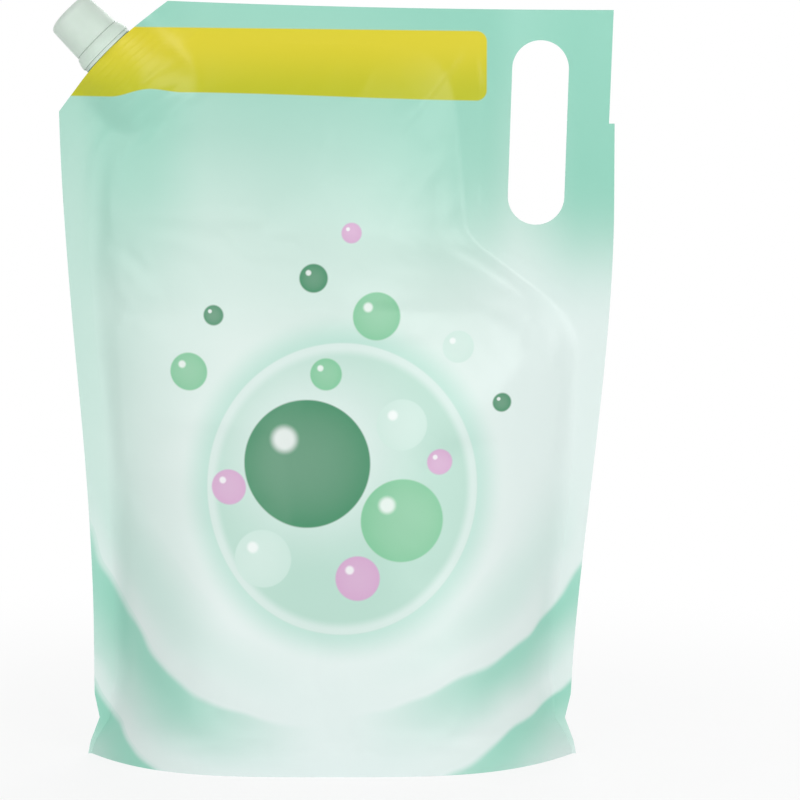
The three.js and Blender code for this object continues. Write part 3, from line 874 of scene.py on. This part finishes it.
def printedDesign(colour, x, z):
    away = disc(x, z, medal["centre"], medal["radius"], medal["squash"])
    colour = over(colour, ink(*medal["glow"]), (1 - away.rise(*medal["glowSpan"])) * medal["glowShare"])
    inside = 1 - away.rise(*medal["edge"])
    light = [centre + shift for centre, shift in zip(medal["centre"], medal["lightShift"])]
    lit = 1 - disc(x, z, light, medal["radius"]).rise(*medal["lightSpan"])
    colour = over(colour, over(ink(*medal["ink"]), ink(*medal["pale"]), lit), inside)
    colour = over(colour, ink(*medal["pale"]), away.rise(*medal["rim"]) * inside * medal["rimShare"])
    for bx, bz, radius, tone in bubbles:
        colour = printedBubble(colour, x, z, (bx, bz), radius, tone)
    return colour


# ribs pressed through the films over the spout's foot, mm
ribs = {
    "count": 5, "height": 4.0, "wander": 0.5, "crest": (-0.2, 1.0),
    "down": (1.5, 3.0, 10.0, 13.0), "across": (9.0, 15.0),
}
gloss = {
    "rough": 0.34, "roughVary": 0.12, "coat": 0.22, "coatRough": 0.26, "specular": 0.45,
    "fine": 900.0, "fineShare": 0.25, "broad": 60.0, "detail": 3.0, "bump": 0.12, "bumpDepth": 0.0004,
}


def weldRibs(x, z):
    dx, dz = x - float(spoutFoot[0]), z - float(spoutFoot[1])
    across = dx * float(alongCut[0]) + dz * float(alongCut[1])
    depth = -(dx * float(outward[0]) + dz * float(outward[1]))
    often = 2 * math.pi * ribs["count"] / corner["boatHeight"]
    wave = (depth * often + (across * ribs["wander"]).sine() * ribs["wander"]).sine().rise(*ribs["crest"])
    return wave * depth.hump(*ribs["down"]) * (1 - abs(across).rise(*ribs["across"]))


def filmFinish(colour, tree, shader, place, x, z):
    fine = noise(place, gloss["fine"], gloss["detail"])
    broad = noise(place, gloss["broad"], gloss["detail"])
    height = fine * gloss["fineShare"] + broad + weldRibs(x, z) * ribs["height"]
    bumpInputs = {"Strength": gloss["bump"], "Distance": gloss["bumpDepth"], "Height": height}
    bump = fine.add("Bump", None, bumpInputs)
    setSockets(tree, shader, {
        "Base Color": colour, "Roughness": gloss["rough"] + broad * gloss["roughVary"], "Normal": bump,
        "Coat Weight": gloss["coat"], "Coat Roughness": gloss["coatRough"],
        "Specular IOR Level": gloss["specular"]})


# the bare yellow band, whose lower edge follows the film's slack and is darker with painted shade, mm
band = {
    "ink": (220, 206, 22), "shadedInk": (189, 192, 0), "shade": (214.0, 234.0),
    "box": (-120.0, 49.2, 214.2, 236.4), "rounding": 3.4, "tilt": 0.012,
    "ruck": 1.4, "ruckPlace": -59.0, "ruckReach": 11.0,
    "slack": 1.7, "slackAcross": (-72.0, -56.0, -45.0, 50.0), "slackUp": (214.0, 230.0),
}


def printedFront():
    made, tree, shader, place = newFinish("printed_front")
    x, y, z = axes(place)
    colour = printedDesign(printedGround(x, z, place), x, z)
    ruck = band["ruck"] * (1 - abs(x - band["ruckPlace"]).rise(0.0, band["ruckReach"]))
    slack = (ruck + band["slack"] * x.hump(*band["slackAcross"])) * (1 - z.rise(*band["slackUp"]))
    mask = rectangle(x, z + x * band["tilt"] - slack, band["box"], band["rounding"])
    # painted shade: the band darkens towards its lower edge, under the film's ruck
    bandInk = over(ink(*band["shadedInk"]), ink(*band["ink"]), z.rise(*band["shade"]))
    filmFinish(over(colour, bandInk, mask), tree, shader, place, x, z)
    return made


panel = {"box": (-52, 52, 42, 176), "rounding": 6.0, "ink": (233, 243, 240), "share": 0.8}


def printedBack():
    made, tree, shader, place = newFinish("printed_back")
    x, y, z = axes(place)
    mask = rectangle(x, z, panel["box"], panel["rounding"]) * panel["share"]
    filmFinish(over(printedGround(x, z, place), ink(*panel["ink"]), mask), tree, shader, place, x, z)
    return made


rim = {"ink": (168, 205, 192), "pale": (214, 232, 225), "grain": 1500.0, "rough": 0.5}


def filmEdge():
    made, tree, shader, place = newFinish("film_edge")
    grain = noise(place, rim["grain"])
    colour = over(ink(*rim["ink"]), ink(*rim["pale"]), grain)
    setSockets(tree, shader, {"Base Color": colour, "Roughness": rim["rough"]})
    return made


plastic = {
    "cloud": 160.0, "cloudDetail": 3.0, "cloudLift": 14, "roughVary": 0.12,
    "grain": 2200.0, "bump": 0.1, "bumpDepth": 0.0002,
    "milk": 0.35, "milkRadius": (0.6, 0.7, 0.6), "milkScale": 0.003,
    "closure": ((205, 222, 209), 0.38), "liner": ((236, 238, 232), 0.7),  # colour and roughness
}


def milkyPlastic(name, tint, rough):
    made, tree, shader, place = newFinish(name)
    cloud = noise(place, plastic["cloud"], plastic["cloudDetail"])
    grain = noise(place, plastic["grain"])
    bumpInputs = {"Strength": plastic["bump"], "Distance": plastic["bumpDepth"], "Height": grain}
    bump = grain.add("Bump", None, bumpInputs)
    paler = [min(255, c + plastic["cloudLift"]) for c in tint]
    setSockets(tree, shader, {
        "Base Color": over(ink(*tint), ink(*paler), cloud), "Roughness": rough + cloud * plastic["roughVary"],
        "Normal": bump, "Subsurface Weight": plastic["milk"], "Subsurface Radius": plastic["milkRadius"],
        "Subsurface Scale": plastic["milkScale"]})
    return made


filmPiece()
milky = milkyPlastic("milky_plastic", *plastic["closure"])
spoutPiece(milky)
ringPiece(milky)
capPiece(milky)
linerPiece(milkyPlastic("liner_foam", *plastic["liner"]))

# studio with a pale floor, soft light and white surroundings, in metres and watts
studio = {
    "floor": 3.0, "floorInk": (240, 242, 242), "floorSpeck": (250, 250, 250), "speck": 30.0,
    "floorRough": 0.8,
    "glow": 0.82, "glowSpan": (90.0, 330.0),  # how white the floor shows, mm from the object
    "world": 0.45, "aim": (0.0, 0.0, 0.12),
    "lamps": {  # place, size, power
        "key": ((0.75, -1.2, 0.5), 0.9, 7.0), "fill": ((-0.9, -1.2, 0.45), 1.0, 5.3),
        "top": ((0.1, 0.2, 1.4), 0.9, 1.0), "rear": ((0.4, 1.5, 0.6), 1.2, 9.0),
    },
}


def seenRays(tree):
    # 1 where the camera looks, straight or by a reflection or through glass
    path = Wire.node(tree, "LightPath").socket.node.outputs
    kinds = ("Camera", "Glossy", "Transmission")
    straight, glossy, through = (Wire(path["Is " + kind + " Ray"]) for kind in kinds)
    return straight.most(glossy).most(through)


def addFloor():
    half = studio["floor"]
    corners = [(-half, -half, 0), (half, -half, 0), (half, half, 0), (-half, half, 0)]
    made = newObject("floor", corners, [(0, 1, 2, 3)])
    finish, tree, shader, place = newFinish("pale_floor")
    colour = over(ink(*studio["floorInk"]), ink(*studio["floorSpeck"]), noise(place, studio["speck"]))
    setSockets(tree, shader, {"Base Color": colour, "Roughness": studio["floorRough"]})
    white = Wire.node(tree, "Emission", None, {"Color": (1, 1, 1, 1), "Strength": 1.0})
    x, y, z = axes(place)
    far = disc(x, y, (0.0, 0.0)).rise(*studio["glowSpan"])
    seen = seenRays(tree) * (studio["glow"] + far * (1 - studio["glow"]))
    mix = seen.add("MixShader", None, {0: seen, 1: Wire(shader.outputs[0]), 2: white})
    tree.links.new(mix.socket, tree.nodes["Material Output"].inputs[0])
    made.data.materials.append(finish)


def addLight(name, place, size, power):
    lamp = bpy.data.lights.new(name, "AREA")
    lamp.size = size
    lamp.energy = power
    made = bpy.data.objects.new(name, lamp)
    scene.collection.objects.link(made)
    made.location = place
    made.rotation_euler = (Vector(studio["aim"]) - Vector(place)).to_track_quat("-Z", "Y").to_euler()


def lightWorld():
    world = bpy.data.worlds.new("studio")
    scene.world = world
    world.use_nodes = True
    tree = world.node_tree
    strength = studio["world"] + seenRays(tree) * (1 - studio["world"])
    setSockets(tree, tree.nodes["Background"], {"Color": (1, 1, 1, 1), "Strength": strength})


# camera at the photograph's angle, mm
camera = {
    "away": 1000.0, "lift": math.radians(6.95), "target": (21.4, 0.0, 117.0),
    "mmPerPixel": 0.3243, "image": 800, "sensor": 36.0, "clip": (0.01, 20.0),
}


def addCamera():
    lens = bpy.data.cameras.new("camera")
    made = bpy.data.objects.new("camera", lens)
    scene.collection.objects.link(made)
    back = Vector((0, -math.cos(camera["lift"]), math.sin(camera["lift"])))
    made.location = (Vector(camera["target"]) + back * camera["away"]) * mm
    made.rotation_euler = (-back).to_track_quat("-Z", "Y").to_euler()
    lens.sensor_width = camera["sensor"]
    lens.lens = camera["sensor"] * camera["away"] / camera["mmPerPixel"] / camera["image"]
    lens.clip_start, lens.clip_end = camera["clip"]
    scene.camera = made


addFloor()
for lampName, lampSpec in studio["lamps"].items():
    addLight(lampName, *lampSpec)
lightWorld()
addCamera()
scene.view_settings.view_transform = "Standard"
print("studio set")
